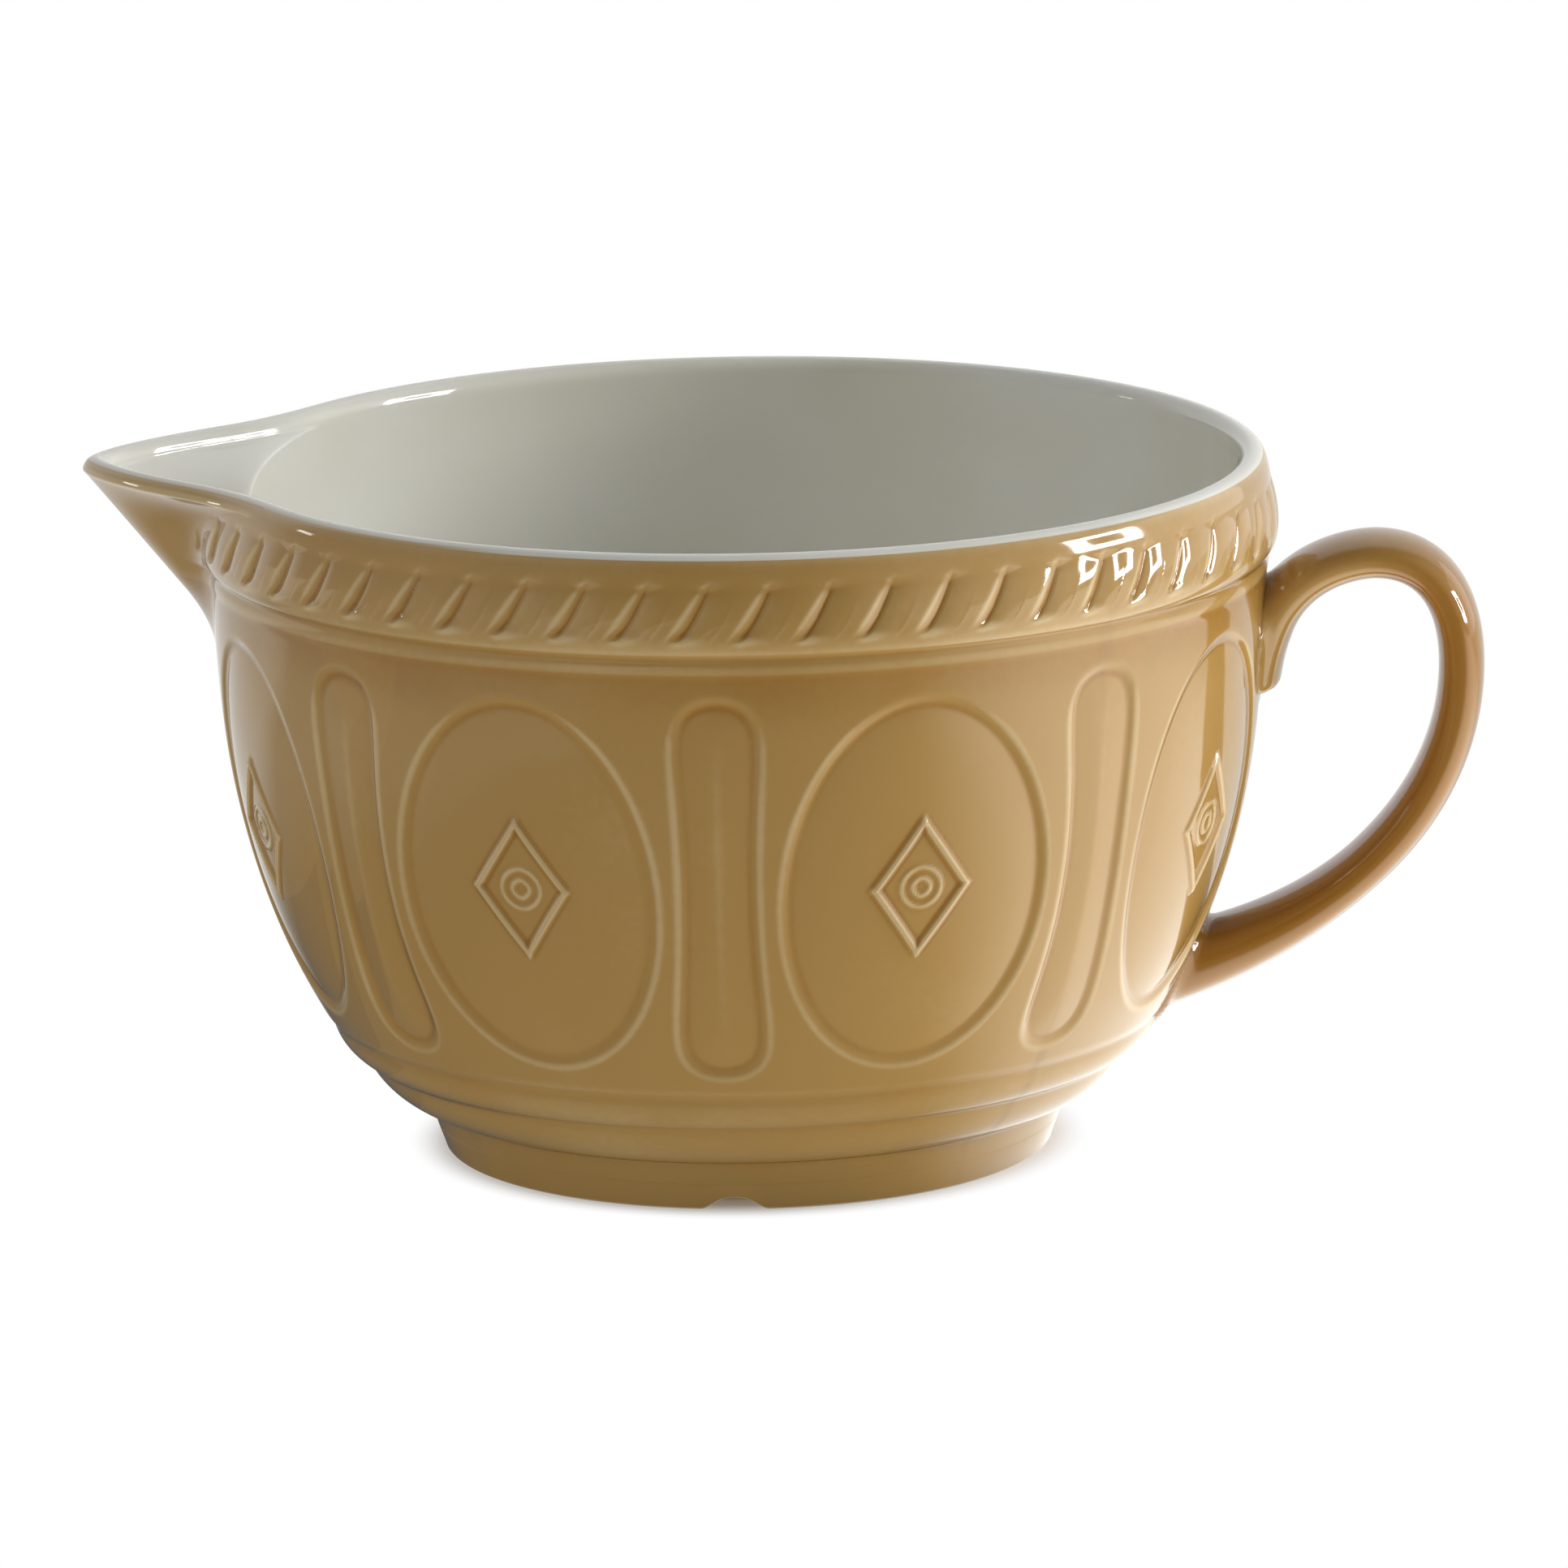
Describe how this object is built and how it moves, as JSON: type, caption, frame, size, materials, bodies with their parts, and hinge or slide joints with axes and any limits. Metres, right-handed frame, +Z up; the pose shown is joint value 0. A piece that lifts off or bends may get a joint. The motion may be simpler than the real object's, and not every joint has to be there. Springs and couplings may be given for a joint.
{
  "type": "batter bowl",
  "caption": "Round stoneware mixing bowl with a pouring spout, a loop handle, a rope band under the rim and sunk panels round the belly.",
  "frame": {"origin": "centre of the foot ring on the surface that the bowl stands on", "axes": "+Z up along the bowl's axis, +X from the spout to the handle, -Y the side with the spout on its left"},
  "size_m": [0.3326, 0.2562, 0.1669],
  "materials": {
    "cane": "gloss",
    "cane_light": "gloss",
    "cane_dark": "gloss",
    "white_glaze": "gloss"
  },
  "bodies": {
    "root": {"bowl_body": "cane", "foot_ring": "cane_dark", "lower_moulding": "cane", "upper_moulding": "cane", "belly_ground": "cane_light", "oval_panels": "cane", "waisted_panels": "cane", "lozenge_frames": "cane_light", "lozenge_rings": "cane_light", "rim_bead": "cane_light", "rope_band": "cane_light", "spout": "cane", "handle": "cane", "bowl_lining": "white_glaze", "spout_lining": "white_glaze"}
  },
  "joints": []
}
